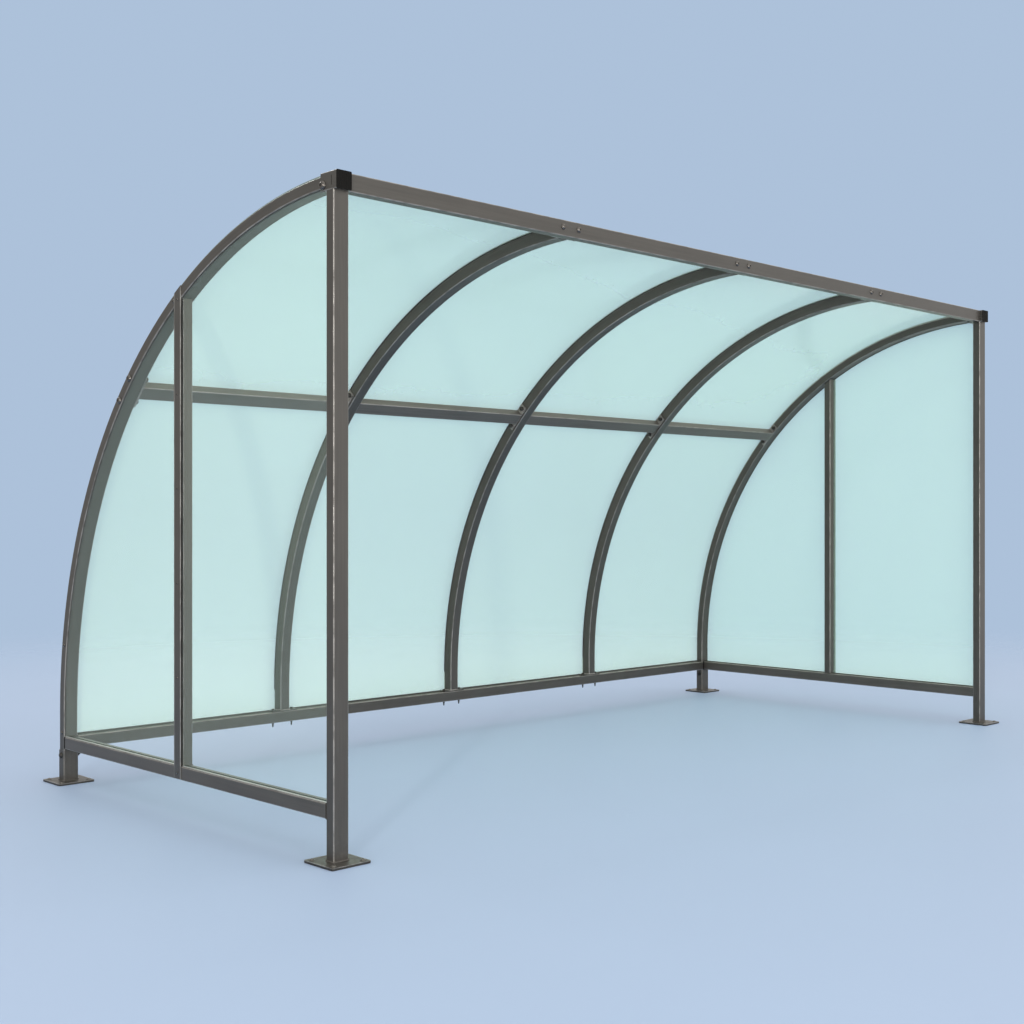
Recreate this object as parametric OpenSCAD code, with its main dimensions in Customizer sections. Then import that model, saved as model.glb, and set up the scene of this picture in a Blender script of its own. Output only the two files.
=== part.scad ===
// Bike shelter: an open-fronted frame of steel tube with a quarter-round back and roof.
// Millimetres. X runs along the shelter, the open front faces -Y, Z is up.
// The origin is on the ground, in the middle of the base plates.

/* [Overall] */
// Length over the outer faces of the two end frames
overall_width = 4300; // [3000:20:6000]
// Front of the posts to the back of the arches, and the outer radius of the arches
overall_depth = 1900; // [1400:10:2100]
// Ground to the top of the header beam
overall_height = 2200; // [2150:10:2700]

/* [End frame tube] */
// Wide side of the tube in the posts, header, end arches and purlins
tube_width = 60; // [50:5:80]
// Narrow side of the same tube
tube_depth = 40; // [30:5:50]
// Wall thickness of every tube
tube_wall = 2.5; // [2:0.5:4]
// Outside corner radius of every tube
tube_corner = 4; // [3:0.5:6]

/* [Inner tube] */
// Side of the square tube in the middle arches and bottom rails
square_tube = 50; // [40:5:60]
// Side of the square tube in the end mullions
mullion_tube = 40; // [30:5:45]
// How far the mullions stand in from the outer face of the end frame
mullion_inset = 10; // [6:1:15]

/* [Feet] */
// Side of the square base plates
plate_size = 155; // [120:5:200]
// Thickness of the base plates
plate_thickness = 8; // [6:1:12]
// Corner radius of the base plates
plate_corner = 8; // [2:1:15]
// Hole to hole distance in a base plate
hole_spacing = 115; // [80:5:150]
// Diameter of the anchor holes
hole_diameter = 13; // [9:1:18]
// Wall of the sleeves that hold the back legs
sleeve_wall = 3; // [2:0.5:5]

/* [Rails] */
// Ground to the underside of the bottom rails
rail_bottom = 140; // [100:5:250]

/* [Corners] */
// Side of the square corner sockets
socket_size = 60; // [60:5:80]
// How far the sockets stand out in front of the posts
socket_proud = 14; // [0:1:30]
// How far the sockets reach back from the front of the posts
socket_reach = 70; // [60:5:100]
// Top of the header down to the top of the arches
arch_drop = 10; // [8:1:20]
// Thickness of the heads and the walls of the end plugs
plug_head = 2; // [1:0.5:4]
// How far the end plugs reach into the sockets
plug_depth = 12; // [8:1:20]
// Height and width of the slot in the outer side of each socket
slot_height = 32; // [20:1:40]
slot_width = 3; // [2:0.5:6]
// Front of the posts back to the slot
slot_back = 10; // [5:1:30]

/* [Joints] */
// Thickness of the plates that bolt the arches and purlins on
flange_thickness = 6; // [4:1:10]
// Length of the plates at the foot and head of each middle arch
arch_flange = 130; // [110:5:160]
// Length of the plates at the ends of the purlins
purlin_flange = 140; // [120:5:180]
// Angle of the purlins above the arch centre
purlin_angle = 44; // [30:1:60]

/* [Glazing] */
// Thickness of the clear sheets
sheet_thickness = 4; // [3:0.5:6]
// Thickness of the strips that hold the sheets down
strip_thickness = 3; // [2:0.5:4]
// Width of the strips over the arches
roof_strip = 40; // [30:2:50]
// Width of the strips over the mullions
mullion_strip = 45; // [40:1:60]
// Gap between two sheets on one arch
sheet_gap = 6; // [2:1:10]
// Thin seal between a sheet and what it rests on
seal = 0.6; // [0.4:0.1:0.8]

/* [Hidden] */
$fn = 96;
arc_fn = 360;
eps = 1;
bay_count = 4;
half = overall_width / 2;
front = -overall_depth / 2;
back = overall_depth / 2;
arch_radius = overall_depth;
arch_z = overall_height - arch_drop - arch_radius;
header_bottom = overall_height - tube_width;
header_back = front + tube_depth;
rail_top = rail_bottom + square_tube;
header_end = max(socket_size, tube_width);
bay = (overall_width - tube_width) / bay_count;
sleeve_top = rail_bottom - 6;
leg_bottom = plate_thickness + 12;
sheet_bottom = rail_bottom + 4;
socket_inner = socket_size - 2 * sleeve_wall;
socket_base = overall_height - socket_size;
panel_x = mullion_inset - sheet_thickness - seal;
sheet_out = seal + sheet_thickness;
strip_out = sheet_out + seal;
big = 2 * (overall_width + overall_depth + overall_height);

frame_colour = [0.42, 0.41, 0.39];
plug_colour = [0.08, 0.08, 0.08];
glass_colour = [0.72, 0.88, 0.88, 0.4];

// X of the centre of arch i, where 0 and bay_count are the end arches
function arch_x(i) = -half + tube_width / 2 + i * bay;

// A rectangle from one corner, rounded as true arcs
module round_rect(size, radius) {
    translate([radius, 0]) square([size.x - 2 * radius, size.y]);
    translate([0, radius]) square([size.x, size.y - 2 * radius]);
    for (x = [radius, size.x - radius], y = [radius, size.y - radius])
        translate([x, y]) circle(r = radius, $fn = 48);
}

// The outline of a rounded tube, shrunk by inset
module tube_outline(size, corner, inset) {
    translate([inset, inset]) round_rect([size.x - 2 * inset, size.y - 2 * inset], max(corner - inset, 0.5));
}

module tube_ring(size, wall, corner) {
    difference() {
        tube_outline(size, corner, 0);
        tube_outline(size, corner, wall);
    }
}

// A hollow rounded tube from one corner of its box, open along the axis given
module tube(size, axis, wall = tube_wall, corner = tube_corner) {
    if (axis == 0)
        rotate([90, 0, 90]) linear_extrude(size.x) tube_ring([size.y, size.z], wall, corner);
    if (axis == 1)
        translate([0, size.y, 0]) rotate([90, 0, 0])
            linear_extrude(size.y) tube_ring([size.x, size.z], wall, corner);
    if (axis == 2)
        linear_extrude(size.z) tube_ring([size.x, size.y], wall, corner);
}

// Everything inside the given radius from the arch centre line, for trimming to the curve
module arch_disc(radius) {
    translate([-big / 2, front, arch_z]) rotate([0, 90, 0]) cylinder(h = big, r = radius, $fn = arc_fn);
}

// Sweeps a flat bar round the quarter circle and down to z_low.
// It lies from depth_in inside the arch's outer radius to depth_out outside it.
module bar_sweep(z_low, depth_out, depth_in, wide) {
    translate([0, front, arch_z]) rotate([90, 0, 90]) rotate_extrude(angle = 90, $fn = arc_fn)
        translate([arch_radius - depth_in, 0]) square([depth_in + depth_out, wide]);
    translate([0, front + arch_radius - depth_in, z_low]) cube([wide, depth_in + depth_out, arch_z - z_low]);
}

// The solid outline of an arch tube and its back leg, shrunk by inset
module arch_sweep(wide, deep, z_low, inset) {
    translate([0, front, arch_z]) rotate([90, 0, 90]) rotate_extrude(angle = 90, $fn = arc_fn)
        translate([arch_radius - deep, 0]) tube_outline([deep, wide], tube_corner, inset);
    translate([0, front + arch_radius - deep, z_low])
        linear_extrude(arch_z - z_low) tube_outline([wide, deep], tube_corner, inset);
}

// A hollow quarter arch with its back leg, cut square at y_cut
module arch_tube(x_low, wide, deep, z_low, y_cut) {
    translate([x_low, 0, 0]) difference() {
        arch_sweep(wide, deep, z_low, 0);
        arch_sweep(wide, deep, z_low - eps, tube_wall);
        translate([-eps, front - big, -eps]) cube([wide + 2 * eps, big + y_cut - front, big]);
    }
}

// Places children at polar angle on the arch, with their +Y outward and +Z up the curve
module on_arch(angle) {
    translate([0, front, arch_z]) rotate([angle, 0, 0]) children();
}

module mirrored(right) {
    mirror([right ? 1 : 0, 0, 0]) children();
}

module base_plate(x, y) {
    color(frame_colour) difference() {
        translate([x - plate_size / 2, y - plate_size / 2, 0])
            linear_extrude(plate_thickness) round_rect([plate_size, plate_size], plate_corner);
        for (sx = [-1, 1], sy = [-1, 1])
            translate([x + sx * hole_spacing / 2, y + sy * hole_spacing / 2, -eps])
                cylinder(h = plate_thickness + 2 * eps, d = hole_diameter);
    }
}

module front_base_plate(right) {
    mirrored(right) base_plate(-half + tube_width / 2, front + tube_depth / 2);
}

module rear_base_plate(right) {
    mirrored(right) base_plate(-half + tube_width / 2, back - tube_depth / 2);
}

module front_post(right) {
    color(frame_colour) mirrored(right) translate([-half, front, plate_thickness])
        tube([tube_width, tube_depth, socket_base - plate_thickness], 2);
}

module rear_sleeve(right) {
    color(frame_colour) mirrored(right)
        translate([-half - sleeve_wall, back - tube_depth - sleeve_wall, plate_thickness])
            tube([tube_width + 2 * sleeve_wall, tube_depth + 2 * sleeve_wall, sleeve_top - plate_thickness],
                2, sleeve_wall, tube_corner + sleeve_wall);
}

module end_arch(right) {
    color(frame_colour) mirrored(right)
        arch_tube(-half, tube_width, tube_depth, leg_bottom, front + socket_reach);
}

module middle_arch(i) {
    color(frame_colour) arch_tube(arch_x(i) - square_tube / 2, square_tube, square_tube,
        rail_top + flange_thickness, header_back + flange_thickness);
}

module arch_foot_plates() {
    color(frame_colour) for (i = [1:bay_count - 1])
        translate([arch_x(i) - arch_flange / 2, back - square_tube, rail_top])
            cube([arch_flange, square_tube, flange_thickness]);
}

module arch_head_plates() {
    color(frame_colour) for (i = [1:bay_count - 1])
        translate([arch_x(i) - arch_flange / 2, header_back, header_bottom + 1])
            cube([arch_flange, flange_thickness, tube_width - arch_drop - 4]);
}

module header_beam() {
    color(frame_colour) translate([-half + header_end, front, header_bottom])
        tube([overall_width - 2 * header_end, tube_depth, tube_width], 0);
}

module corner_socket(right) {
    color(frame_colour) mirrored(right) difference() {
        translate([-half, front - socket_proud, socket_base])
            tube([socket_size, socket_proud + socket_reach, socket_size], 1, sleeve_wall);
        translate([-half - eps, front + slot_back, overall_height - socket_size / 2 - slot_height / 2])
            cube([sleeve_wall + 2 * eps, slot_width, slot_height]);
    }
}

module end_plug(right) {
    color(plug_colour) mirrored(right) translate([-half, front - socket_proud, socket_base]) {
        rotate([90, 0, 0]) linear_extrude(plug_head)
            round_rect([socket_size, socket_size], tube_corner);
        translate([sleeve_wall, 0, sleeve_wall])
            tube([socket_inner, plug_depth, socket_inner], 1, plug_head, 1 + plug_head);
    }
}

module rear_bottom_rail() {
    color(frame_colour) translate([-half + tube_width, back - square_tube, rail_bottom])
        tube([overall_width - 2 * tube_width, square_tube, square_tube], 0);
}

module end_bottom_rail(right) {
    color(frame_colour) mirrored(right) translate([-half, front + tube_depth, rail_bottom])
        tube([square_tube, overall_depth - 2 * tube_depth, square_tube], 1);
}

// Purlin i spans the bay between arch i - 1 and arch i
module purlin(i) {
    low = purlin_low(i) + flange_thickness;
    high = purlin_high(i) - flange_thickness;
    color(frame_colour) on_arch(purlin_angle)
        translate([low, arch_radius - tube_depth - 1, -tube_width / 2])
            tube([high - low, tube_depth, tube_width], 0);
}

function arch_half_width(i) = (i == 0 || i == bay_count ? tube_width : square_tube) / 2;
function purlin_low(i) = arch_x(i - 1) + arch_half_width(i - 1);
function purlin_high(i) = arch_x(i) - arch_half_width(i);

module purlin_end_plates() {
    color(frame_colour) for (i = [1:bay_count], low_end = [0, 1])
        on_arch(purlin_angle)
            translate([low_end ? purlin_low(i) : purlin_high(i) - flange_thickness,
                arch_radius - tube_depth, -purlin_flange / 2])
                cube([flange_thickness, tube_depth - 2, purlin_flange]);
}

module mullion(right) {
    color(frame_colour) mirrored(right) intersection() {
        translate([-half + mullion_inset, -mullion_tube / 2, rail_top])
            tube([mullion_tube, mullion_tube, overall_height - rail_top], 2);
        arch_disc(arch_radius - tube_depth);
    }
}

module mullion_cover(right) {
    color(frame_colour) mirrored(right) intersection() {
        translate([-half - strip_thickness, -mullion_strip / 2, rail_bottom + 4])
            cube([strip_thickness, mullion_strip, overall_height - rail_bottom]);
        arch_disc(arch_radius - 1);
    }
}

// The end glazing fills the end frame from the post to the arch, parted behind the mullion strip
module end_panel(right, y_low, y_high) {
    color(glass_colour) mirrored(right) difference() {
        intersection() {
            translate([-half + panel_x, y_low, rail_top + seal])
                cube([sheet_thickness, y_high - y_low, overall_height - rail_top]);
            union() {
                arch_disc(arch_radius - tube_depth - seal);
                translate([-half - eps, front, rail_top])
                    cube([tube_width, overall_depth - tube_depth - seal, arch_z - rail_top]);
            }
        }
        translate([-half - eps, front - eps, socket_base - seal])
            cube([tube_width, socket_reach + seal + eps, socket_size + eps]);
    }
}

module front_panel(right) {
    end_panel(right, front + tube_depth + seal, -sheet_gap / 2);
}

module rear_panel(right) {
    end_panel(right, sheet_gap / 2, back - tube_depth - seal);
}

// A clear sheet over bay i, bent round the arches and down over the rear rail
module roof_sheet(i) {
    low = i == 1 ? -half + panel_x : arch_x(i - 1) + sheet_gap / 2;
    high = i == bay_count ? half - panel_x : arch_x(i) - sheet_gap / 2;
    color(glass_colour) difference() {
        translate([low, 0, 0]) bar_sweep(sheet_bottom, sheet_out, -seal, high - low);
        translate([-big / 2, front - big, 0]) cube([big, big + tube_depth + seal, big]);
        for (right = [false, true])
            mirrored(right) translate([-half - eps, front - eps, arch_z])
                cube([socket_size + 3, socket_reach + 3, big]);
    }
}

// A curved strip over the sheets, from y_front back and down
module roof_cover(x_low, y_start) {
    color(frame_colour) translate([x_low, 0, 0]) difference() {
        bar_sweep(sheet_bottom, strip_out + strip_thickness, -strip_out, roof_strip);
        translate([-eps, front - big, 0]) cube([roof_strip + 2 * eps, big + y_start - front, big]);
    }
}

module end_roof_strip(right) {
    mirrored(right) roof_cover(-half + (tube_width - roof_strip) / 2, front + socket_reach + 20);
}

module middle_roof_strips() {
    for (i = [1:bay_count - 1]) roof_cover(arch_x(i) - roof_strip / 2, header_back);
}

front_base_plate(false);  // front_left_base_plate
front_base_plate(true);  // front_right_base_plate
rear_base_plate(false);  // rear_left_base_plate
rear_base_plate(true);  // rear_right_base_plate
front_post(false);  // front_left_post
front_post(true);  // front_right_post
rear_sleeve(false);  // rear_left_sleeve
rear_sleeve(true);  // rear_right_sleeve
end_arch(false);  // left_end_arch
end_arch(true);  // right_end_arch
middle_arch(1);  // middle_arch_1
middle_arch(2);  // middle_arch_2
middle_arch(3);  // middle_arch_3
arch_foot_plates();
arch_head_plates();
header_beam();
corner_socket(false);  // left_corner_socket
corner_socket(true);  // right_corner_socket
end_plug(false);  // left_end_plug
end_plug(true);  // right_end_plug
rear_bottom_rail();
end_bottom_rail(false);  // left_bottom_rail
end_bottom_rail(true);  // right_bottom_rail
purlin(1);  // purlin_1
purlin(2);  // purlin_2
purlin(3);  // purlin_3
purlin(4);  // purlin_4
purlin_end_plates();
mullion(false);  // left_mullion
mullion(true);  // right_mullion
mullion_cover(false);  // left_mullion_strip
mullion_cover(true);  // right_mullion_strip
front_panel(false);  // left_front_panel
rear_panel(false);  // left_rear_panel
front_panel(true);  // right_front_panel
rear_panel(true);  // right_rear_panel
roof_sheet(1);  // roof_sheet_1
roof_sheet(2);  // roof_sheet_2
roof_sheet(3);  // roof_sheet_3
roof_sheet(4);  // roof_sheet_4
end_roof_strip(false);  // left_roof_strip
end_roof_strip(true);  // right_roof_strip
middle_roof_strips();
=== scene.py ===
import math

import bmesh
import bpy
import numpy as np
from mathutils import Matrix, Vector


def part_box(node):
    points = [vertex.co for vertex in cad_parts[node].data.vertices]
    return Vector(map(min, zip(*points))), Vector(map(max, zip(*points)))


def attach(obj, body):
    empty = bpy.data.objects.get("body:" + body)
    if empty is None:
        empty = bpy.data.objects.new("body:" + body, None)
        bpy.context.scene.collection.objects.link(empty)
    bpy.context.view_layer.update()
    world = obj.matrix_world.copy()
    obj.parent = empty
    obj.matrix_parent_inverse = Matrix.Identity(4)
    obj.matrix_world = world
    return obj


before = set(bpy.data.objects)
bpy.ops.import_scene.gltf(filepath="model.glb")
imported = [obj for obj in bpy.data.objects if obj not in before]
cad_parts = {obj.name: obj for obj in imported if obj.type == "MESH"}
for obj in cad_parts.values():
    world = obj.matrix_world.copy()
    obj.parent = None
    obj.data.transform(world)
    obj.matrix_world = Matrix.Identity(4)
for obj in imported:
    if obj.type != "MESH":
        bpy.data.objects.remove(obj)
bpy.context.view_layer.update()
print("frame loaded:", len(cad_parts), "nodes")

# the places and sizes that several pieces share, read from the frame
postLow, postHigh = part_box("front_left_post")
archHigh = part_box("middle_arch_2")[1]
headerLow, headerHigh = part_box("header_beam")
railLow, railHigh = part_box("rear_bottom_rail")
endRailLow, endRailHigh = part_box("left_bottom_rail")
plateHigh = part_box("front_left_base_plate")[1]
sleeveLow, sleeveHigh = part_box("rear_left_sleeve")
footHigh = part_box("arch_foot_plates")[1]
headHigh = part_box("arch_head_plates")[1]
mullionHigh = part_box("left_mullion")[1]
stripLow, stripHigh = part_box("left_mullion_strip")
panelLow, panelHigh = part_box("left_front_panel")

# half sections of the tubes
tubeHalf = (0.030, 0.020)            # posts, end arches, header and purlins
squareHalf = (0.025, 0.025)          # middle arches and bottom rails
sleeveHalf = (0.033, 0.023)
mullionHalf = (0.020, 0.020)

frontY, backY = postLow.y, archHigh.y
postY = (postLow.y + postHigh.y) / 2
sleeveY = (sleeveLow.y + sleeveHigh.y) / 2
railY = (railLow.y + railHigh.y) / 2
railZ = 0.165                        # middle of the bottom rails
headerY, headerZ = -0.93, 2.17       # middle of the header
arcRadius = backY - frontY           # outside of the arches
archDrop = 0.010                     # top of the header down to the top of the arches
arcZ = headerHigh.z - archDrop - arcRadius
endDepth, innerDepth = 0.040, 0.050  # radial size of the end arches and the middle arches
endArcMiddle = arcRadius - endDepth / 2
stripMiddle = arcRadius + 0.0067     # middle of the strips that lie on the roof sheets
outerX = -postLow.x                  # outer face of the end frames
frameX = outerX - tubeHalf[0]        # middle of the end frames
endRailX = outerX - squareHalf[0]
bay = frameX / 2
archX = [-bay, 0.0, bay]
purlinAngle = math.radians(44)
purlinRadius = arcRadius - 0.021     # middle of the purlins, 1 mm inside the arches


camera = dict(place=(-4.739, -4.446, 1.103), yaw=46.03, lens=47.98, shiftY=0.0044)
lens = bpy.data.cameras.new("camera")
lens.lens, lens.sensor_width, lens.shift_y = camera["lens"], 36.0, camera["shiftY"]
lens.clip_start, lens.clip_end = 0.05, 200.0
viewer = bpy.data.objects.new("camera", lens)
viewer.location = camera["place"]
viewer.rotation_euler = (math.radians(90), 0, math.radians(camera["yaw"] - 90))
bpy.context.scene.collection.objects.link(viewer)
bpy.context.scene.camera = viewer
bpy.context.scene.view_settings.view_transform = "Standard"


class Wire:
    # one output socket of a node tree; arithmetic on wires adds Math nodes
    def __init__(self, tree, socket=None):
        self.tree, self.socket = tree, socket

    def node(self, kind, settings=None, sockets=None, output=0):
        made = self.tree.nodes.new("ShaderNode" + kind)
        for key, value in (settings or {}).items():
            if key == "stops":
                ramp = made.color_ramp
                while len(ramp.elements) < len(value):
                    ramp.elements.new(0.5)
                for element, (place, colour) in zip(ramp.elements, value):
                    element.position, element.color = place, (*colour, 1)
            else:
                setattr(made, key, value)
        for key, value in (sockets or {}).items():
            if isinstance(value, Wire):
                self.tree.links.new(value.socket, made.inputs[key])
            else:
                made.inputs[key].default_value = value
        return Wire(self.tree, made.outputs[output] if len(made.outputs) > output else None)

    def maths(self, operation, *values, clamp=False):
        return self.node("Math", {"operation": operation, "use_clamp": clamp}, dict(enumerate(values)))

    def __add__(self, other):
        return self.maths("ADD", self, other)

    def __sub__(self, other):
        return self.maths("SUBTRACT", self, other)

    def __rsub__(self, other):
        return self.maths("SUBTRACT", other, self)

    def __mul__(self, other):
        return self.maths("MULTIPLY", self, other)

    def __truediv__(self, other):
        return self.maths("DIVIDE", self, other)

    def __rtruediv__(self, other):
        return self.maths("DIVIDE", other, self)

    def __pow__(self, other):
        return self.maths("POWER", self, other)

    def __abs__(self):
        return self.maths("ABSOLUTE", self)

    __radd__, __rmul__ = __add__, __mul__

    def clamped(self):
        return self.maths("ADD", self, 0.0, clamp=True)

    def between(self, low, high):
        # 0 at low, 1 at high, with soft ends
        return self.node("MapRange", {"interpolation_type": "SMOOTHSTEP"},
                         {"Value": self, "From Min": low, "From Max": high, "To Min": 0.0, "To Max": 1.0})

    def noise(self, scale, detail=2.0, roughness=0.5):
        return self.node("TexNoise", {},
                         {"Vector": self, "Scale": scale, "Detail": detail, "Roughness": roughness})

    def stretched(self, x, y, z):
        return self.node("VectorMath", {"operation": "MULTIPLY"}, {0: self, 1: (x, y, z)})

    def blend(self, first, second):
        # first colour where this is 0, second where it is 1
        return self.node("Mix", {"data_type": "RGBA"}, {0: self, 6: first, 7: second}, output=2)

    def bump(self, distance, strength=1.0, under=None):
        sockets = {"Strength": strength, "Distance": distance, "Height": self}
        if under:
            sockets["Normal"] = under
        return self.node("Bump", {}, sockets)


def startMaterial(name):
    material = bpy.data.materials.new(name)
    material.use_nodes = True
    material.node_tree.nodes.clear()
    wire = Wire(material.node_tree)
    place = wire.node("TexCoord", {}, {}, output=3)
    x, y, z = (wire.node("SeparateXYZ", {}, {0: place}, output=k) for k in range(3))
    return material, wire, place, (x, y, z)


def finishMaterial(wire, sockets):
    shader = wire.node("BsdfPrincipled", {}, sockets)
    wire.node("OutputMaterial", {}, {"Surface": shader})


def areaLight(name, place, target, size, power, colour):
    light = bpy.data.lights.new(name, "AREA")
    light.shape, light.size, light.size_y = "RECTANGLE", size[0], size[1]
    light.energy, light.color = power, colour
    lamp = bpy.data.objects.new(name, light)
    lamp.location = place
    aim = np.array(target, float) - np.array(place, float)
    across = math.atan2(aim[1], aim[0]) - math.pi / 2
    lamp.rotation_euler = (math.acos(-aim[2] / np.linalg.norm(aim)), 0, across)
    lamp.visible_camera = False
    bpy.context.scene.collection.objects.link(lamp)


studio = dict(
    backdrop=(0.418, 0.536, 0.702),
    ambient=(1.0, 0.985, 0.96),
    dim=0.56, bright=1.42, towards=(0.15, -0.80, 0.58),
    key=dict(place=(-2.0, -9.5, 1.4), target=(0, 0, 1.1), size=(7, 3), power=220,
             colour=(1.0, 0.98, 0.95)),
    side=dict(place=(-9.4, -6.4, 2.4), target=(-1, 0, 0.9), size=(0.30, 4.5), power=300,
              colour=(1.0, 0.95, 0.87)),
    back=dict(place=(0.5, 7.5, 7.5), target=(0, 0, 1.0), size=(7, 0.5), power=95,
              colour=(1.0, 0.99, 0.97)),
)
world = bpy.data.worlds.new("studio")
bpy.context.scene.world = world
world.use_nodes = True
world.node_tree.nodes.clear()
sky = Wire(world.node_tree)
seen = sky.node("Background", {}, {"Color": (*studio["backdrop"], 1), "Strength": 1.0})
toward = sky.node("VectorMath", {"operation": "DOT_PRODUCT"}, {
    0: sky.node("TexCoord", {}, {}), 1: studio["towards"]}, output=1)
glow = studio["dim"] + ((toward + 1.0) * 0.5) ** 1.4 * (studio["bright"] - studio["dim"])
lit = sky.node("Background", {}, {"Color": (*studio["ambient"], 1), "Strength": glow})
isCamera = sky.node("LightPath", {}, {})
sky.node("OutputWorld", {}, {"Surface": sky.node("MixShader", {}, {0: isCamera, 1: lit, 2: seen})})
for lampName in ("key", "side", "back"):
    areaLight(lampName + "_light", **studio[lampName])

floorPlan = dict(radius=60.0, near=3.0, far=8.6, colour=(0.378, 0.480, 0.655), height=-0.0005)
# a pale disc that fades to clear between near and far, so it meets the backdrop with no line
floorMaterial, wire, place, (x, y, z) = startMaterial("pale_floor")
reach = (x * x + y * y) ** 0.5
grain = place.noise(0.6, 3.0)
darker = [c * 0.985 for c in floorPlan["colour"]]
tone = grain.between(0.3, 0.7).blend((*darker, 1), (*floorPlan["colour"], 1))
shader = wire.node("BsdfPrincipled", {}, {"Base Color": tone, "Roughness": 0.55, "Specular IOR Level": 0.25})
clear = wire.node("BsdfTransparent", {}, {})
fade = reach.between(floorPlan["near"], floorPlan["far"])
wire.node("OutputMaterial", {}, {"Surface": wire.node("MixShader", {}, {0: fade, 1: shader, 2: clear})})
turn = np.linspace(0, 2 * math.pi, 96, endpoint=False)
floorPoints = np.stack([np.cos(turn), np.sin(turn), 0 * turn], -1) * floorPlan["radius"]
floorPoints[:, 2] = floorPlan["height"]
floorMesh = bpy.data.meshes.new("floor")
floorMesh.from_pydata(floorPoints.tolist(), [], [list(range(len(turn)))])
floorMesh.materials.append(floorMaterial)
floor = bpy.data.objects.new("floor", floorMesh)
bpy.context.scene.collection.objects.link(floor)
print("camera, lights and floor made")


# the lifts are painted light: they make the coat on the purlins and the end rails paler, lit copies of the one
# coat
# edge colours the worn corners and their painted highlight; plateSideShade is painted shade on the plates' low
# sides
steel = dict(
    deep=(0.040, 0.0365, 0.032), light=(0.062, 0.0570, 0.050), fleck=(0.125, 0.120, 0.112),
    edge=(0.42, 0.405, 0.385), dust=(0.115, 0.110, 0.100), plateSideShade=(0.018, 0.017, 0.016),
    roughness=0.37, metallic=0.38, corner=0.0050, purlinPaintedLight=1.9, railPaintedLight=1.45,
)


def steelFinish(name, direction, half, centre, lift=1.0):
    # powder-coated tube: streaks and scuffs run along it, the corners are lighter as worn coat and painted
    # highlight;
    # along is the distance down the tube, u and v are measured across it from its middle
    material, wire, place, (x, y, z) = startMaterial(name)
    rise = wire.maths("MAXIMUM", z - arcZ, 0.0)
    radius = ((y - frontY) ** 2.0 + rise * rise) ** 0.5
    if direction in ("up", "plate"):
        along, u, v = z, abs(x) - centre[0], abs(y) - centre[1]
    elif direction == "length":
        along, u, v = x, y - centre[0], z - centre[1]
    elif direction == "depth":
        along, u, v = y, abs(x) - centre[0], z - centre[1]
    elif direction == "purlin":
        lean, climb = math.cos(purlinAngle), math.sin(purlinAngle)
        along = x
        u = (y - frontY) * lean + (z - arcZ) * climb - centre[0]
        v = (z - arcZ) * lean - (y - frontY) * climb
    else:
        angle = wire.maths("ARCTAN2", rise, y - frontY)
        along = angle * arcRadius + wire.maths("MINIMUM", z - arcZ, 0.0)
        v = radius - centre[1]
        if centre[0]:
            u = abs(x) - centre[0]
        else:
            u = x - wire.maths("ROUND", x / bay) * bay
    lanes = wire.node("CombineXYZ", {}, {0: along * 7.0, 1: u * 330.0, 2: v * 330.0})
    streaks = lanes.noise(1.0, 3.0, 0.6)
    longStreaks = wire.node("CombineXYZ", {}, {0: along * 1.6, 1: u * 90.0, 2: v * 90.0}).noise(1.0, 2.0)
    mottle = place.noise(5.0, 4.0, 0.55)
    speckle = place.noise(900.0, 2.0, 0.6)
    tone = (streaks * 0.40 + longStreaks * 0.30 + mottle * 0.30).between(0.32, 0.68)
    cornerU = abs(u).between(half[0] - steel["corner"], half[0] - 0.0004)
    cornerV = abs(v).between(half[1] - steel["corner"], half[1] - 0.0004)
    rub = place.noise(24.0, 3.0, 0.6).between(0.35, 0.62)
    corner = cornerU * cornerV
    # on a base plate the lighter corner runs round the top edge only, as a painted highlight line
    if direction == "plate":
        corner = wire.maths("MAXIMUM", cornerU, cornerV) * z.between(0.0060, 0.0078)
    wornAndHighlight = (corner * (0.35 + rub * 0.65)).clamped()
    # lift pales the whole coat for lit copies of it: painted light
    colour = tone.blend((*[c * lift for c in steel["deep"]], 1), (*[c * lift for c in steel["light"]], 1))
    colour = ((speckle - 0.5) * 0.5 + 0.18).clamped().blend(colour, (*steel["fleck"], 1))
    # the lightened corners are partly wear and partly a painted highlight
    colour = (wornAndHighlight * 0.75).blend(colour, (*steel["edge"], 1))
    low = (1.0 - z.between(0.0, 0.16)) * place.noise(38.0, 4.0, 0.65).between(0.42, 0.75)
    colour = (low * 0.45).blend(colour, (*steel["dust"], 1))
    # painted shade: the plate's sides near the floor are darkened as if in contact shadow
    if direction == "plate":
        plateSideShade = (1.0 - z.between(0.0045, 0.0070)) * 0.72
        colour = plateSideShade.blend(colour, (*steel["plateSideShade"], 1))
    rough = steel["roughness"] + (streaks - 0.5) * 0.22 + low * 0.18 - wornAndHighlight * 0.14
    height = speckle * 0.5 + streaks * 0.7 + place.noise(260.0, 2.0) * 0.8
    finishMaterial(wire, {"Base Color": colour, "Metallic": steel["metallic"], "Roughness": rough.clamped(),
                          "Normal": height.bump(0.00022, 0.7)})
    return material


postSteel = steelFinish("post_steel", "up", tubeHalf, (frameX, -postY))
sleeveSteel = steelFinish("sleeve_steel", "up", sleeveHalf, (frameX, sleeveY))
mullionSteel = steelFinish("mullion_steel", "up", mullionHalf, (frameX, 0.0))
stripSteel = steelFinish("mullion_strip_steel", "up", (0.0015, 0.0225), (outerX + 0.0015, 0.0))
headerSteel = steelFinish("header_steel", "length", tubeHalf[::-1], (headerY, headerZ))
rearRailSteel = steelFinish("rear_rail_steel", "length", squareHalf, (railY, railZ))
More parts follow.
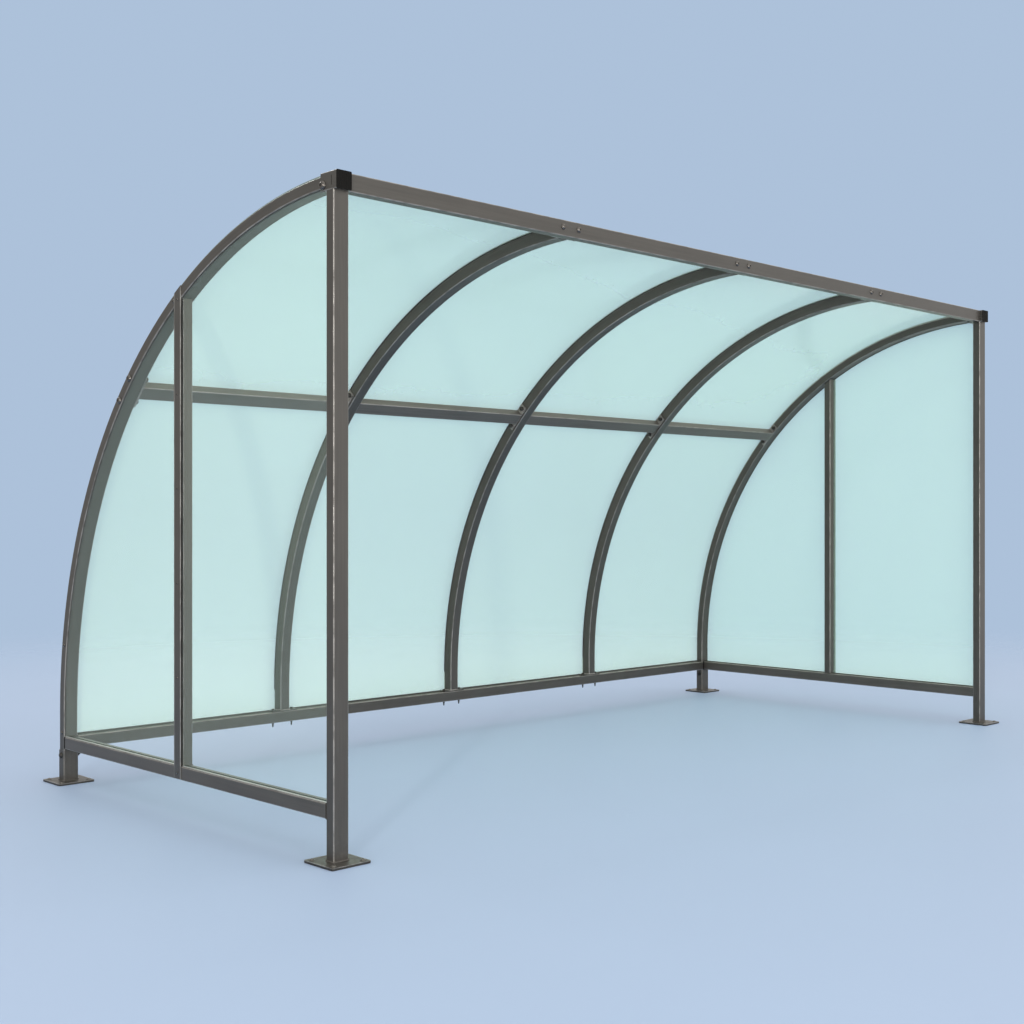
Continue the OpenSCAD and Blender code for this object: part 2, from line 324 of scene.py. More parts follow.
# the end rails and the purlins below are paler, lit copies of the coat: painted light
endRailSteel = steelFinish("end_rail_steel", "depth", squareHalf, (endRailX, railZ), steel["railPaintedLight"])
endArchSteel = steelFinish("end_arch_steel", "arc", tubeHalf, (frameX, endArcMiddle))
middleArchSteel = steelFinish("middle_arch_steel", "arc", squareHalf, (0, arcRadius - innerDepth / 2))
purlinSteel = steelFinish("purlin_steel", "purlin", tubeHalf[::-1], (purlinRadius,), steel["purlinPaintedLight"])
socketSteel = steelFinish("corner_socket_steel", "depth", (0.030, 0.030), (frameX, headerZ))
plateSteel = steelFinish("base_plate_steel", "plate", (0.0775, 0.0775), (frameX, 0.93))
flangeSteel = steelFinish("flange_steel", "length", (0.030, 0.030), (railY, 0.193))
roofStripSteel = steelFinish("roof_strip_steel", "arc", (0.020, 0.0015), (0, stripMiddle))
endStripSteel = steelFinish("end_roof_strip_steel", "arc", (0.020, 0.0015), (frameX, stripMiddle))
weldSteel = steelFinish("weld_steel", "up", (0.5, 0.5), (frameX, 0.0))


# coverage is how much each face hides, gloss what it gains at a glancing angle, and glow a painted glow
# standing in for the daylight that the sheet scatters; the three copies differ as painted light
glazing = dict(
    edge=(0.085, 0.135, 0.130), edgeCover=0.62, dustCover=0.006, roughness=0.09,
    roof=dict(coverage=0.245, gloss=0.06, colour=(0.74, 1.0, 0.80), glow=(0.10, 0.120, 0.112)),
    left=dict(coverage=0.030, gloss=0.02, colour=(0.74, 1.0, 0.84), glow=(0.10, 0.10, 0.10)),
    right=dict(coverage=0.235, gloss=0.05, colour=(0.74, 1.0, 0.80), glow=(0.055, 0.110, 0.110)),
)


def glazingFinish(name, bent, coverage, gloss, colour, glow):
    # clear tinted sheet: a trace of haze and dust on its faces, deeper colour in its cut edges;
    # the bent roof sheets are cut square to X, the flat end panels all round
    material, wire, place, (x, y, z) = startMaterial(name)
    normalX = wire.node("SeparateXYZ", {}, {0: wire.node("NewGeometry", {}, {}, output=1)})
    edge = abs(normalX).between(0.4, 0.6) if bent else 1.0 - abs(normalX).between(0.4, 0.6)
    haze = place.noise(1.3, 4.0, 0.55)
    dust = place.stretched(1.0, 1.0, 0.35).noise(46.0, 5.0, 0.7)
    foot = 1.0 - z.between(0.14, 0.42)
    graze = wire.node("LayerWeight", {}, {"Blend": 0.25}, output=1)
    # painted light: toward the top of the roof the sheets grow milkier and take more of the painted glow
    paintedTopLight = z.between(1.0, 2.15) if bent else 0.0
    cover = 0.9 + haze * 0.2 + foot * dust * 0.3 + paintedTopLight * 0.32
    alpha = coverage * cover + dust.between(0.55, 0.8) * glazing["dustCover"] + graze * gloss
    alpha = alpha + edge * glazing["edgeCover"]
    tint = haze.between(0.3, 0.7).blend((*colour, 1), (*[c * 0.97 for c in colour], 1))
    # paintedGlow is the emission: a painted glow, the sheet gives light though it is no lamp
    paintedGlow = (paintedTopLight if bent else haze * 0.3 + 0.85).blend((0, 0, 0, 1), (*glow, 1))
    tint = edge.blend(tint, (*glazing["edge"], 1))
    rough = glazing["roughness"] + dust * 0.10 + foot * 0.08
    ripple = place.noise(2.2, 1.0)
    finishMaterial(wire, {"Base Color": tint, "Roughness": rough, "IOR": 1.49, "Alpha": alpha.clamped(),
                          "Specular IOR Level": 0.6, "Emission Color": paintedGlow, "Emission Strength": 1.0,
                          "Normal": ripple.bump(0.004, 0.25)})
    return material


roofGlazing = glazingFinish("roof_glazing", True, **glazing["roof"])
leftGlazing = glazingFinish("left_end_glazing", False, **glazing["left"])
rightGlazing = glazingFinish("right_end_glazing", False, **glazing["right"])

plastic = dict(ribPitch=0.0075, ribCrestHighlight=(0.0095, 0.0090, 0.0085), roughness=0.60, specular=0.08)


def plasticFinish(name, colour, ribs):
    # moulded black plastic with a fine grain and, on the plug faces, upright ribs whose crests carry a painted
    # highlight
    material, wire, place, (x, y, z) = startMaterial(name)
    grain = place.noise(700.0, 3.0, 0.6)
    cloud = place.noise(30.0, 3.0)
    tone = (grain * 0.5 + cloud * 0.5).between(0.35, 0.65)
    colour = tone.blend((*colour, 1), (*[c * 1.6 for c in colour], 1))
    height = grain * 0.3
    if ribs:
        wave = wire.maths("SINE", (abs(x) - frameX) * (2 * math.pi / plastic["ribPitch"])) * 0.5 + 0.5
        height = height + wave * 3.0
        # the rib crests are lightened: painted highlight
        colour = (wave * 0.5).blend(colour, (*plastic["ribCrestHighlight"], 1))
    finishMaterial(wire, {"Base Color": colour, "Specular IOR Level": plastic["specular"],
                          "Roughness": plastic["roughness"] + cloud * 0.14, "Normal": height.bump(0.0004)})
    return material


plugPlastic = plasticFinish("plug_plastic", (0.0036, 0.0034, 0.0031), True)
capPlastic = plasticFinish("cap_plastic", (0.009, 0.0085, 0.008), False)
gasketRubber = plasticFinish("gasket_rubber", (0.060, 0.062, 0.059), False)


def boltFinish(name, colour, metallic, roughness):
    # zinc-plated steel, turned marks and small dull spots
    material, wire, place, (x, y, z) = startMaterial(name)
    marks = place.noise(1400.0, 2.0, 0.6)
    spots = place.noise(190.0, 3.0, 0.6)
    tone = (marks * 0.4 + spots * 0.6).between(0.35, 0.65)
    colour = tone.blend((*[c * 0.72 for c in colour], 1), (*colour, 1))
    finishMaterial(wire, {"Base Color": colour, "Metallic": metallic,
                          "Roughness": roughness + (spots - 0.5) * 0.25, "Normal": marks.bump(0.00015, 0.6)})
    return material


boltSteel = boltFinish("bolt_steel", (0.15, 0.14, 0.13), 1.0, 0.20)
# the sill trim's near-white metal paints the highlight line along the rail's top edge
sillHighlightMetal = boltFinish("sill_highlight_metal", (0.72, 0.72, 0.69), 0.75, 0.35)
anchorSteel = boltFinish("anchor_steel", (0.20, 0.19, 0.175), 0.85, 0.38)
darkBolt = boltFinish("dark_bolt_steel", (0.060, 0.057, 0.053), 0.8, 0.40)

finishes = {
    "front_left_base_plate": plateSteel, "front_right_base_plate": plateSteel,
    "rear_left_base_plate": plateSteel, "rear_right_base_plate": plateSteel,
    "front_left_post": postSteel, "front_right_post": postSteel,
    "rear_left_sleeve": sleeveSteel, "rear_right_sleeve": sleeveSteel,
    "left_end_arch": endArchSteel, "right_end_arch": endArchSteel,
    "arch_foot_plates": flangeSteel, "arch_head_plates": flangeSteel, "purlin_end_plates": flangeSteel,
    "header_beam": headerSteel, "left_corner_socket": socketSteel, "right_corner_socket": socketSteel,
    "left_end_plug": plugPlastic, "right_end_plug": plugPlastic,
    "rear_bottom_rail": rearRailSteel, "left_bottom_rail": endRailSteel, "right_bottom_rail": endRailSteel,
    "left_mullion": mullionSteel, "right_mullion": mullionSteel,
    "left_mullion_strip": stripSteel, "right_mullion_strip": stripSteel,
    "left_roof_strip": endStripSteel, "right_roof_strip": endStripSteel, "middle_roof_strips": roofStripSteel,
}
for name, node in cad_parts.items():
    if name.startswith("middle_arch"):
        finish = middleArchSteel
    elif name in ("purlin_1", "purlin_2", "purlin_3", "purlin_4"):
        finish = purlinSteel
    elif name.startswith("roof_sheet"):
        finish = roofGlazing
    elif name.endswith("_panel"):
        finish = leftGlazing if name.startswith("left") else rightGlazing
    else:
        finish = finishes[name]
    if not node.data.materials:
        node.data.materials.append(finish)
    for k in range(len(node.data.materials)):
        node.data.materials[k] = finish
print("finishes on the frame")


def gridFaces(rows, columns, wrapRows=False):
    # four corners of each cell of a grid of points, one after the other round the cell; columns run in a ring
    i, j = np.meshgrid(np.arange(rows - (not wrapRows)), np.arange(columns), indexing="ij")
    i2, j2 = (i + 1) % rows, (j + 1) % columns
    cells = np.stack([i * columns + j, i * columns + j2, i2 * columns + j2, i2 * columns + j], -1)
    return cells.reshape(-1, 4).tolist()


def lathe(profile, sides=24):
    # profile rows are radius, height and hexagon share; a point is radius * (cos a, sin a) at its height,
    # and where the share is 1 the radius grows by 1 / cos(angle from the nearest flat)
    radius, height, share = np.array(profile, float).T
    angle = 2 * math.pi * np.arange(sides) / sides
    flat = 1 / np.cos((angle + math.pi / 6) % (math.pi / 3) - math.pi / 6) - 1
    spread = radius[:, None] * (1 + share[:, None] * flat)
    rings = np.stack([spread * np.cos(angle), spread * np.sin(angle), np.repeat(height[:, None], sides, 1)], -1)
    points = np.vstack([rings.reshape(-1, 3), [[0, 0, height[0]], [0, 0, height[-1]]]])
    faces = gridFaces(len(radius), sides)
    last, first = len(points) - 1, len(points) - 2
    base = (len(radius) - 1) * sides
    faces += [[first, (j + 1) % sides, j] for j in range(sides)]
    faces += [[last, base + j, base + (j + 1) % sides] for j in range(sides)]
    return points, faces


def sweep(path, across, up, profile, closed):
    # point = path(i) + profile(j).x * across(i) + profile(j).y * up(i)
    profile = np.array(profile, float)
    points = path[:, None] + profile[None, :, :1] * across[:, None] + profile[None, :, 1:] * up[:, None]
    faces = gridFaces(len(path), len(profile), wrapRows=closed)
    if not closed:
        last = (len(path) - 1) * len(profile)
        faces += [list(range(len(profile))), [last + j for j in range(len(profile))]]
    return points.reshape(-1, 3), faces


def evenSteps(points, step):
    # the same closed line with points an even step apart, found by its running length
    line = np.vstack([points, points[:1]])
    run = np.concatenate([[0], np.cumsum(np.linalg.norm(np.diff(line, axis=0), axis=1))])
    count = max(4, int(round(run[-1] / step)))
    places = np.linspace(0, run[-1], count, endpoint=False)
    return np.stack([np.interp(places, run, line[:, k]) for k in range(line.shape[1])], -1)


def roundedLoop(halfU, halfV, corner, perCorner=5):
    # a rectangle with quarter-round corners, centred on zero
    turn = np.linspace(0, math.pi / 2, perCorner)
    quarter = np.stack([np.cos(turn), np.sin(turn)], -1) * corner
    parts = []
    for k, (su, sv) in enumerate(((1, 1), (-1, 1), (-1, -1), (1, -1))):
        c, s = math.cos(k * math.pi / 2), math.sin(k * math.pi / 2)
        parts.append(quarter @ np.array([[c, s], [-s, c]]) + [su * (halfU - corner), sv * (halfV - corner)])
    return np.vstack(parts)


def addPiece(name, parts, material, sharp=35):
    # joins shapes given as points and faces into one closed mesh that rides on the frame
    points, faces, start = [], [], 0
    for partPoints, partFaces in parts:
        points.append(partPoints)
        faces += [[start + k for k in face] for face in partFaces]
        start += len(partPoints)
    mesh = bpy.data.meshes.new(name)
    mesh.from_pydata(np.vstack(points).tolist(), [], faces)
    work = bmesh.new()
    work.from_mesh(mesh)
    bmesh.ops.recalc_face_normals(work, faces=work.faces)
    work.to_mesh(mesh)
    work.free()
    mesh.polygons.foreach_set("use_smooth", [True] * len(mesh.polygons))
    mesh.set_sharp_from_angle(angle=math.radians(sharp))
    mesh.materials.append(material)
    piece = bpy.data.objects.new(name, mesh)
    bpy.context.scene.collection.objects.link(piece)
    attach(piece, "root")


def placed(shape, spots):
    # copies of a shape made along Z, each set on a point with its Z turned to an axis: p + u a + v b + w axis
    points, faces = shape
    copies = []
    for spot, axis, spin in spots:
        w = np.array(axis, float) / np.linalg.norm(axis)
        helper = np.array([0, 0, 1.0]) if abs(w[2]) < 0.9 else np.array([1.0, 0, 0])
        a = np.cross(helper, w)
        a /= np.linalg.norm(a)
        b = np.cross(w, a)
        a, b = a * math.cos(spin) + b * math.sin(spin), b * math.cos(spin) - a * math.sin(spin)
        copies.append((np.array(spot, float) + points @ np.stack([a, b, w]), faces))
    return copies


def domeScrew(radius, height, socket=0.0, sink=0.0006):
    # a rounded head: radius * cos(t), height * sin(t), with a hexagon recess in its crown when socket is set
    rows = [(radius, -sink, 0), (radius, height * 0.16, 0)]
    start, stop = 0.17, math.pi / 2
    if socket:
        stop = math.acos(min(0.95, socket * 1.35 / radius))
    for t in np.linspace(start, stop, 6):
        rows.append((radius * math.cos(t) if t < 1.5 else radius * 0.08, height * math.sin(t), 0))
    if socket:
        rows += [(socket * 1.02, rows[-1][1] - 0.0001, 1), (socket, rows[-1][1] - 0.0024, 1),
                 (socket * 0.3, rows[-1][1] - 0.0028, 0)]
    return lathe(rows)


def bar(start, stop, across, up, profile, count=2):
    # a straight sweep: point = start + (stop - start) * i / (count - 1), with the profile square to it
    path = np.linspace(start, stop, count)
    return sweep(path, np.repeat(across[None], count, 0), np.repeat(up[None], count, 0), profile, False)


def washer(radius, thickness):
    # a flat disc with its rims turned away, and a smaller flat on top
    edge = thickness * 0.25
    return lathe([(radius - edge, -0.0004, 0), (radius, 0.0, 0), (radius, thickness - edge, 0),
                  (radius - edge, thickness, 0), (radius * 0.3, thickness, 0)])


def hexNut(flats, height, lift=0.0):
    # a hexagon with its top corners turned away
    r = flats / 2
    return lathe([(r, lift, 1), (r, lift + height * 0.82, 1), (r * 1.02, lift + height * 0.86, 0.75),
                  (r * 0.96, lift + height, 0.05), (r * 0.5, lift + height, 0)], 48)


unitX, unitY, unitZ = np.eye(3)
rng = np.random.default_rng(7)       # seeded, so every bolt is turned the same way each time


def spins(count):
    # a turn for each of a group of bolts
    return rng.uniform(0, math.tau, count)


# a washer and a dome bolt on each of the four holes of a base plate
anchors = dict(pitch=0.0575, washer=0.0100, washerHeight=0.0012, head=0.0074, headHeight=0.0042,
               socket=0.0026)
for corner in ("front_left", "front_right", "rear_left", "rear_right"):
    low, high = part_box(corner + "_base_plate")
    middle = (low + high) / 2
    spots = [((middle.x + sx * anchors["pitch"], middle.y + sy * anchors["pitch"], high.z), (0, 0, 1), spin)
             for (sx, sy), spin in zip(((-1, -1), (1, -1), (1, 1), (-1, 1)), spins(4))]
    heads = [((p[0], p[1], p[2] + anchors["washerHeight"]), axis, spin) for p, axis, spin in spots]
    addPiece(corner + "_anchor_bolts",
             placed(washer(anchors["washer"], anchors["washerHeight"]), spots)
             + placed(domeScrew(anchors["head"], anchors["headHeight"], anchors["socket"]), heads),
             anchorSteel)

# bolts through the header into the arch heads, with their nuts behind
headerBolts = dict(apart=0.041, down=0.026, radius=0.0115, height=0.0080, socket=0.0036,
                   washer=0.0130, washerHeight=0.0010, nutFlats=0.013, nutHeight=0.006)
boltZ = headerHigh.z - headerBolts["down"]
spots = [((ax + s * headerBolts["apart"], headerLow.y, boltZ), (0, -1, 0), spin)
         for ax in archX for s, spin in zip((-1, 1), spins(2))]
addPiece("header_bolts", placed(washer(headerBolts["washer"], headerBolts["washerHeight"]), spots)
         + placed(domeScrew(headerBolts["radius"], headerBolts["height"], headerBolts["socket"]), spots),
         boltSteel)

spots = [((ax + s * headerBolts["apart"], headHigh.y, boltZ), (0, 1, 0), spin)
         for ax in archX for s, spin in zip((-1, 1), spins(2))]
addPiece("header_nuts", placed(hexNut(headerBolts["nutFlats"], headerBolts["nutHeight"]), spots),
         boltSteel)

# drill screws that hold the arch feet: a hexagon head on the plate, the point below the rail
footScrews = dict(apart=0.052, flats=0.012, head=0.006, headLift=0.0014, flange=0.0088, flangeHeight=0.0016,
                  shank=0.0052, drop=0.024)
screwPoint = lathe([(footScrews["shank"], 0.002, 0), (footScrews["shank"], -0.007, 0), (0.0040, -0.009, 0),
                    (0.0036, -0.018, 0), (0.0008, -footScrews["drop"], 0)], 16)
tops = [((ax + s * footScrews["apart"], railY, footHigh.z), (0, 0, 1), spin)
        for ax in archX for s, spin in zip((-1, 1), spins(2))]
bottoms = [((p[0], p[1], railLow.z), axis, spin) for p, axis, spin in tops]
addPiece("arch_foot_screws", placed(washer(footScrews["flange"], footScrews["flangeHeight"]), tops)
         + placed(hexNut(footScrews["flats"], footScrews["head"], footScrews["headLift"]), tops)
         + placed(screwPoint, bottoms), darkBolt)

# bolts through the ends of the arches into the corner sockets
cornerBolts = dict(back=0.058, down=0.040, radius=0.0150, height=0.0105, socket=0.0044,
                   washer=0.0165, washerHeight=0.0010)
cornerY, cornerZ = frontY + cornerBolts["back"], headerHigh.z - cornerBolts["down"]
spots = [((side * outerX, cornerY, cornerZ), (side, 0, 0), 0.3) for side in (-1, 1)]
addPiece("corner_bolts", placed(washer(cornerBolts["washer"], cornerBolts["washerHeight"]), spots)
         + placed(domeScrew(cornerBolts["radius"], cornerBolts["height"], cornerBolts["socket"]), spots),
         boltSteel)

# purlin bolts: dome heads outside the end arches, nuts on the flanges inside
purlinBolts = dict(reach=0.056, radius=0.0145, height=0.0100, flats=0.019, nut=0.010, socket=0.0042,
                   washer=0.0158, washerHeight=0.0010, nutWasher=0.0105, nutWasherHeight=0.0014,
                   nutLift=0.0012, plateFromEnd=0.036, plateFromArch=0.031)


def arcPoint(x, radius, angle):
    # the centre of the arches' circle plus radius * (cos, sin) of the angle
    return np.array([x, frontY + radius * math.cos(angle), arcZ + radius * math.sin(angle)])


boltAngles = [purlinAngle + s * purlinBolts["reach"] / purlinRadius for s in (-1, 1)]
outside = [(arcPoint(side * outerX, purlinRadius, a), (side, 0, 0), 0.6 + side * a)
           for side in (-1, 1) for a in boltAngles]
addPiece("purlin_bolts", placed(washer(purlinBolts["washer"], purlinBolts["washerHeight"]), outside)
         + placed(domeScrew(purlinBolts["radius"], purlinBolts["height"], purlinBolts["socket"]), outside),
         boltSteel)
endPlateX = frameX - purlinBolts["plateFromEnd"]
flangeFaces = [(-endPlateX, 1), (endPlateX, -1)]
for ax in archX:
    flangeFaces += [(ax - purlinBolts["plateFromArch"], -1), (ax + purlinBolts["plateFromArch"], 1)]
inside = [(arcPoint(fx, purlinRadius, a), (direction, 0, 0), spin)
          for fx, direction in flangeFaces for a, spin in zip(boltAngles, spins(2))]
addPiece("purlin_nuts", placed(washer(purlinBolts["nutWasher"], purlinBolts["nutWasherHeight"]), inside)
         + placed(hexNut(purlinBolts["flats"], purlinBolts["nut"], purlinBolts["nutLift"]), inside),
         darkBolt)

# cross bolts of the rear sleeves: head outside, nut and thread end inside
sleeveBolts = dict(z=0.112, radius=0.0120, height=0.0090, flats=0.019, nut=0.010, thread=0.0050, end=0.018,
                   washer=0.0134, washerHeight=0.0012, nutLift=0.001)
sleeveOut, sleeveIn = frameX + sleeveHalf[0], frameX - sleeveHalf[0]
heads = [((side * sleeveOut, sleeveY, sleeveBolts["z"]), (side, 0, 0), 0.2) for side in (-1, 1)]
nuts = [((side * sleeveIn, sleeveY, sleeveBolts["z"]), (-side, 0, 0), 0.4) for side in (-1, 1)]
thread = lathe([(sleeveBolts["thread"], 0.0, 0), (sleeveBolts["thread"], sleeveBolts["end"] - 0.001, 0),
                (sleeveBolts["thread"] * 0.8, sleeveBolts["end"], 0)], 16)
addPiece("sleeve_bolts", placed(washer(sleeveBolts["washer"], sleeveBolts["washerHeight"]), heads + nuts)
         + placed(domeScrew(sleeveBolts["radius"], sleeveBolts["height"]), heads)
         + placed(hexNut(sleeveBolts["flats"], sleeveBolts["nut"], sleeveBolts["nutLift"]), nuts)
         + placed(thread, nuts),
         darkBolt)

# small fixings on the outside of the end arches: at the rail, half-way up the leg, behind the mullion
archScrews = dict(radius=0.0080, height=0.0050, socket=0.0021, railZ=0.205, legZ=0.57, mullionY=0.030)
legY = backY - endDepth / 2
legAngle = math.asin((archScrews["legZ"] - arcZ) / endArcMiddle)
mullionAngle = math.acos((archScrews["mullionY"] - frontY) / endArcMiddle)
spots = []
for side in (-1, 1):
    spots += [((side * outerX, legY, archScrews["railZ"]), (side, 0, 0), 0.1),
              (arcPoint(side * outerX, endArcMiddle, legAngle), (side, 0, 0), 0.5),
              (arcPoint(side * outerX, endArcMiddle, mullionAngle), (side, 0, 0), 0.9)]
addPiece("end_arch_screws",
         placed(domeScrew(archScrews["radius"], archScrews["height"], archScrews["socket"]), spots),
         boltSteel)

# screws that hold the glazing strips; the angles left clear at foot and head are in radians
stripScrews = dict(radius=0.0055, height=0.0026, socket=0.0019, every=0.30,
                   footAngle=0.012, headAngle=0.02, middleClear=0.02, endClear=0.045,
                   mullionRadius=0.0050, mullionHeight=0.0024, mullionSocket=0.0018, mullionCount=6,
                   mullionTop=0.05)
stripTop = arcRadius + 0.0082        # outer face of the strips on the roof
spots = []
for ax in [-frameX, *archX, frameX]:
    clear = stripScrews["middleClear"] if ax in archX else stripScrews["endClear"]
    count = int(round((math.pi / 2 - 2 * clear) * arcRadius / stripScrews["every"])) + 1
    for a in np.linspace(stripScrews["footAngle"], math.pi / 2 - clear - stripScrews["headAngle"], count):
        p = arcPoint(ax, stripTop, a)
        spots.append((p, (0, math.cos(a), math.sin(a)), rng.uniform(0, math.tau)))
addPiece("roof_strip_screws",
         placed(domeScrew(stripScrews["radius"], stripScrews["height"], stripScrews["socket"]), spots),
         boltSteel)
spots = []
for side in (-1, 1):
    for z in np.linspace(railZ, stripHigh.z - stripScrews["mullionTop"], stripScrews["mullionCount"]):
        spots.append(((side * -stripLow.x, 0.0, z), (side, 0, 0), rng.uniform(0, math.tau)))
stripScrew = domeScrew(stripScrews["mullionRadius"], stripScrews["mullionHeight"], stripScrews["mullionSocket"])
addPiece("mullion_strip_screws", placed(stripScrew, spots), boltSteel)
print("bolts and screws made")


welds = dict(size=0.0036, mullionSize=0.0028, railSize=0.0026, footSize=0.0030,
             corner=0.004, sleeveCorner=0.006, pitch=0.0042, step=0.0011)


def weldLoop(centre, axisU, axisV, axisW, halfU, halfV, corner, size=welds["size"]):
    # a ripple bead round a tube: its profile grows and shrinks with the sine of the distance along it
    loop = evenSteps(roundedLoop(halfU, halfV, corner), welds["step"])
    ahead = np.roll(loop, -1, 0) - np.roll(loop, 1, 0)
    ahead /= np.linalg.norm(ahead, axis=1)[:, None]
    outward = np.stack([ahead[:, 1], -ahead[:, 0]], -1)
    basis = np.stack([axisU, axisV]).astype(float)
    path = np.array(centre, float) + loop @ basis
    run = np.arange(len(loop)) * welds["step"]
    ripple = 1 + 0.13 * np.sin(run * math.tau / welds["pitch"]) + 0.06 * np.sin(run * 61.0 + centre[0] * 9)
    turn = np.linspace(0, math.pi / 2, 6)
    profile = np.vstack([[[-0.0004, -0.0004]], np.stack([np.cos(turn), np.sin(turn)], -1) * [size, size]])
    across = (outward @ basis) * ripple[:, None]
    up = np.array(axisW, float)[None] * ripple[:, None]
    return sweep(path, across, up, profile, True)


beads = {name: [] for name in ("front_post_welds", "rear_sleeve_welds", "mullion_welds", "rail_welds",
                               "arch_foot_welds")}
for side in (-1, 1):
    beads["front_post_welds"].append(weldLoop((side * frameX, postY, plateHigh.z), unitX, unitY, unitZ,
                                              *tubeHalf, welds["corner"]))
    beads["rear_sleeve_welds"].append(weldLoop((side * frameX, sleeveY, plateHigh.z), unitX, unitY, unitZ,
                                               *sleeveHalf, welds["sleeveCorner"]))
    beads["mullion_welds"].append(weldLoop((side * frameX, 0, endRailHigh.z), unitX, unitY, unitZ,
                                           *mullionHalf, welds["corner"], welds["mullionSize"]))
    railFront = (side * endRailX, endRailLow.y, (endRailLow.z + endRailHigh.z) / 2)
    beads["rail_welds"].append(weldLoop(railFront, unitX, unitZ, unitY, *squareHalf, welds["corner"],
                                        welds["railSize"]))
for ax in archX:
    beads["arch_foot_welds"].append(weldLoop((ax, railY, footHigh.z), unitX, unitY, unitZ, *squareHalf,
                                             welds["corner"], welds["footSize"]))
for name, parts in beads.items():
    addPiece(name, parts, weldSteel)
print("weld beads made")


gasket = dict(wide=0.0022, deep=0.0052, gap=0.0004, step=0.012)


def barProfile(wide, deep, corner=0.0012):
    # the rounded section of a rubber bead
    return roundedLoop(wide / 2, deep / 2, corner, 3)


def panelGasket(outline, x):
    # a bead round a panel's edge; inward is square to the outline, in the plane of the panel
    loop = evenSteps(outline, gasket["step"])
    ahead = np.roll(loop, -1, 0) - np.roll(loop, 1, 0)
    ahead /= np.linalg.norm(ahead, axis=1)[:, None]
    inward = np.stack([-ahead[:, 1], ahead[:, 0]], -1)
    path = np.stack([np.full(len(loop), x), loop[:, 0], loop[:, 1]], -1)
    path[:, 1:] += inward * gasket["wide"] / 2
    across = np.stack([0 * loop[:, 0], inward[:, 0], inward[:, 1]], -1)
    up = np.repeat(unitX[None], len(loop), 0)
    return sweep(path, across, up, barProfile(gasket["wide"], gasket["deep"]), True)


def arcLine(radius, startY, stopY, count=60):
    # points of the arches' circle at even steps of Y
    ys = np.linspace(startY, stopY, count)
    return np.stack([ys, arcZ + np.sqrt(radius ** 2 - (ys - frontY) ** 2)], -1)


edgeGap = gasket["gap"]
innerEnd = arcRadius - endDepth - edgeGap
postBack, footZ = postHigh.y + edgeGap, endRailHigh.z + edgeGap
mullionEdge = mullionHalf[1] + edgeGap
frontArc = arcLine(innerEnd, -mullionEdge, postBack)
frontOutline = np.vstack([[[postBack, footZ], [-mullionEdge, footZ]], frontArc])
angles = np.linspace(0, math.acos((mullionEdge - frontY) / innerEnd), 60)
rearArc = np.stack([frontY + innerEnd * np.cos(angles), arcZ + innerEnd * np.sin(angles)], -1)
rearOutline = np.vstack([[[mullionEdge, footZ], [frontY + innerEnd, footZ]], rearArc])
gasketX = (panelLow.x + panelHigh.x) / 2   # the left panels; the right ones are at -gasketX
for side, label in ((1, "left"), (-1, "right")):
    for part, outline in (("front", frontOutline), ("rear", rearOutline)):
        addPiece(label + "_" + part + "_gasket", [panelGasket(outline, side * gasketX)],
                 gasketRubber)


def arcBand(x, width, low, high, start, stop):
    # a flat band bent round the arches: radius from low to high, angle from start to stop
    a = np.linspace(start, stop, 120)
    path = np.stack([np.full(len(a), x), frontY + 0 * a, arcZ + 0 * a], -1)
    out = np.stack([0 * a, np.cos(a), np.sin(a)], -1)
    profile = [(-width / 2, low), (width / 2, low), (width / 2, high), (-width / 2, high)]
    return sweep(path, np.repeat(unitX[None], len(a), 0), out, profile, False)


# the black strip between each mullion strip and the panels, and the caps in the rails' back ends
bedding = dict(half=(0.00255, 0.0250), corner=0.0008, inset=0.0026, footGap=0.001, headGap=0.004)
endCap = dict(half=0.02530, corner=0.004, length=0.0088, back=0.0002)
beddingLow, beddingHigh = endRailHigh.z + bedding["footGap"], mullionHigh.z - bedding["headGap"]
parts = []
for side in (-1, 1):
    beddingX = side * (outerX - bedding["inset"])
    parts.append(bar((beddingX, 0, beddingLow), (beddingX, 0, beddingHigh), unitX, unitY,
                     roundedLoop(*bedding["half"], bedding["corner"], 3)))
addPiece("mullion_strip_gaskets", parts, capPlastic)
parts = []
for side in (-1, 1):
    capY = endRailHigh.y - endCap["back"]
    parts.append(bar((side * endRailX, capY - endCap["length"], railZ), (side * endRailX, capY, railZ),
                     unitX, unitZ, roundedLoop(endCap["half"], endCap["half"], endCap["corner"])))
addPiece("rail_end_caps", parts, capPlastic)

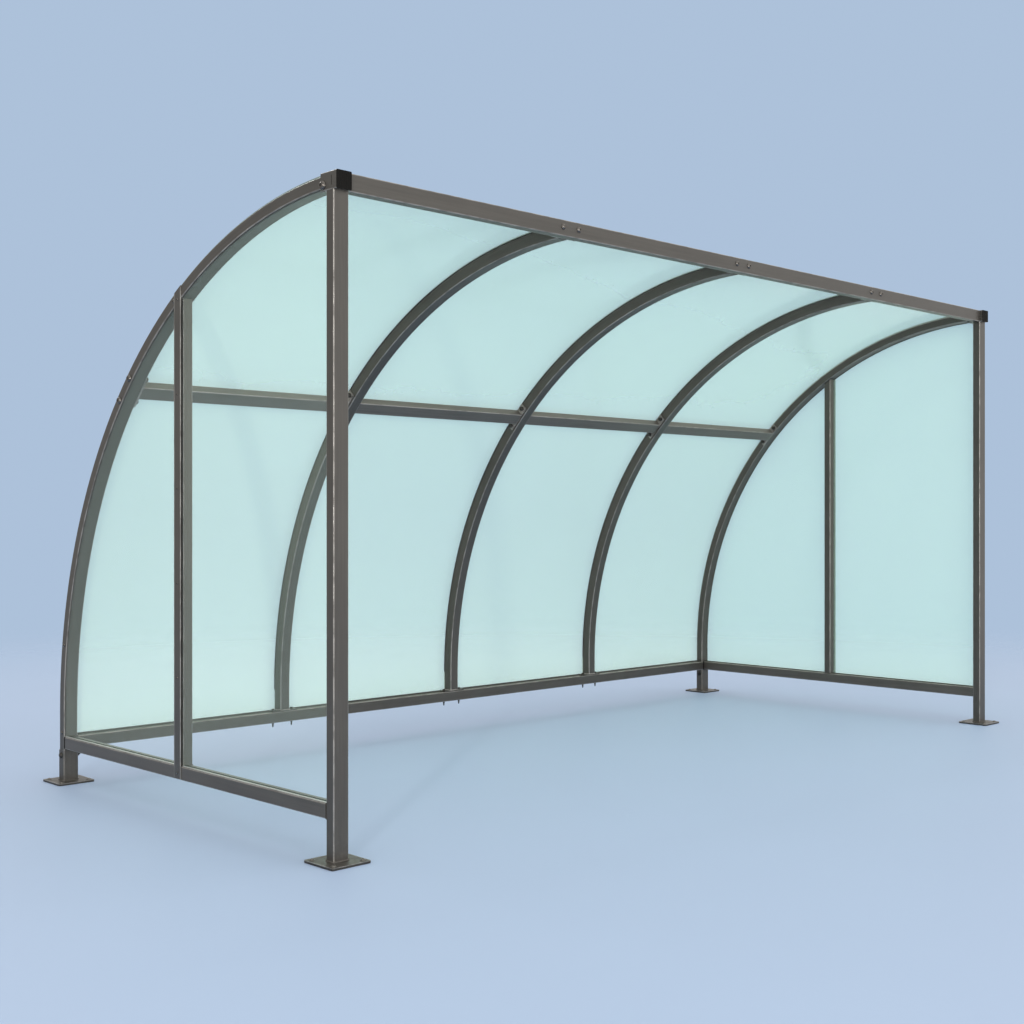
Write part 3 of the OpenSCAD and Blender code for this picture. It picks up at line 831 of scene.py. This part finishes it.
# sill trim, kept bright as a painted highlight line on the rail's top edge, that holds the foot of each end
# panel on the rail, and the dark seal inside it
sill = dict(half=0.0031, height=0.0026, corner=0.0009, above=0.0002,
            sealWide=0.0130, sealHigh=0.0024, sealCorner=0.0008,
            postGap=0.0034, mullionGap=0.0034, legGap=0.0010)
sillStarts = (postHigh.y + sill["postGap"], mullionHalf[1] + sill["mullionGap"])
sillStops = (-mullionHalf[1] - sill["mullionGap"], frontY + arcRadius - endDepth - sill["legGap"])
sillZ = endRailHigh.z + sill["height"] / 2 + sill["above"]
sealZ = sillZ - (sill["height"] - sill["sealHigh"]) / 2
sealX = gasketX + sill["half"] + sill["sealWide"] / 2 + sill["above"]   # towards the middle of the shelter
trims, footSeals = [], []
for side in (-1, 1):
    for startY, stopY in zip(sillStarts, sillStops):
        trims.append(bar((side * gasketX, startY, sillZ), (side * gasketX, stopY, sillZ), unitX, unitZ,
                         roundedLoop(sill["half"], sill["height"] / 2, sill["corner"], 3)))
        footSeals.append(bar((side * sealX, startY, sealZ), (side * sealX, stopY, sealZ), unitX, unitZ,
                             roundedLoop(sill["sealWide"] / 2, sill["sealHigh"] / 2, sill["sealCorner"], 3)))
addPiece("panel_sill_trims", trims, sillHighlightMetal)
addPiece("panel_foot_seals", footSeals, capPlastic)

# thin rubber bands on the arches: under the bent sheets where two of them meet, and under every strip
bands = dict(under=(0.056, 0.0001, 0.0005), over=(0.046, 0.0047, 0.0051), middleStop=0.026, endStop=0.05)


def roofBand(x, size, stop):
    # width of the band, then how far its faces stand off the arches
    width, low, high = size
    return arcBand(x, width, arcRadius + low, arcRadius + high, 0.0, math.pi / 2 - stop)


underSheet = [roofBand(ax, bands["under"], bands["middleStop"]) for ax in archX]
overSheet = [roofBand(ax, bands["over"], bands["middleStop"]) for ax in archX]
overSheet += [roofBand(side * frameX, bands["over"], bands["endStop"]) for side in (-1, 1)]
addPiece("arch_gaskets", underSheet, gasketRubber, 60)
addPiece("roof_strip_gaskets", overSheet, gasketRubber, 60)

# a seal along the rear rail in each bay, from arch foot to arch foot
railSeal = dict(wide=0.0070, high=0.0060, corner=0.0020, back=0.0042, up=0.0030,
                fromEnd=0.031, fromArch=0.066, steps=24)
starts = [-frameX + railSeal["fromEnd"]] + [ax + railSeal["fromArch"] for ax in archX]
stops = [ax - railSeal["fromArch"] for ax in archX] + [frameX - railSeal["fromEnd"]]
railSealY, railSealZ = railHigh.y - railSeal["back"], railHigh.z + railSeal["up"]
seals = [bar((start, railSealY, railSealZ), (stop, railSealY, railSealZ), unitY, unitZ,
             barProfile(railSeal["wide"], railSeal["high"], railSeal["corner"]), railSeal["steps"])
         for start, stop in zip(starts, stops)]
addPiece("rear_rail_seal", seals, gasketRubber)
print("gaskets made")
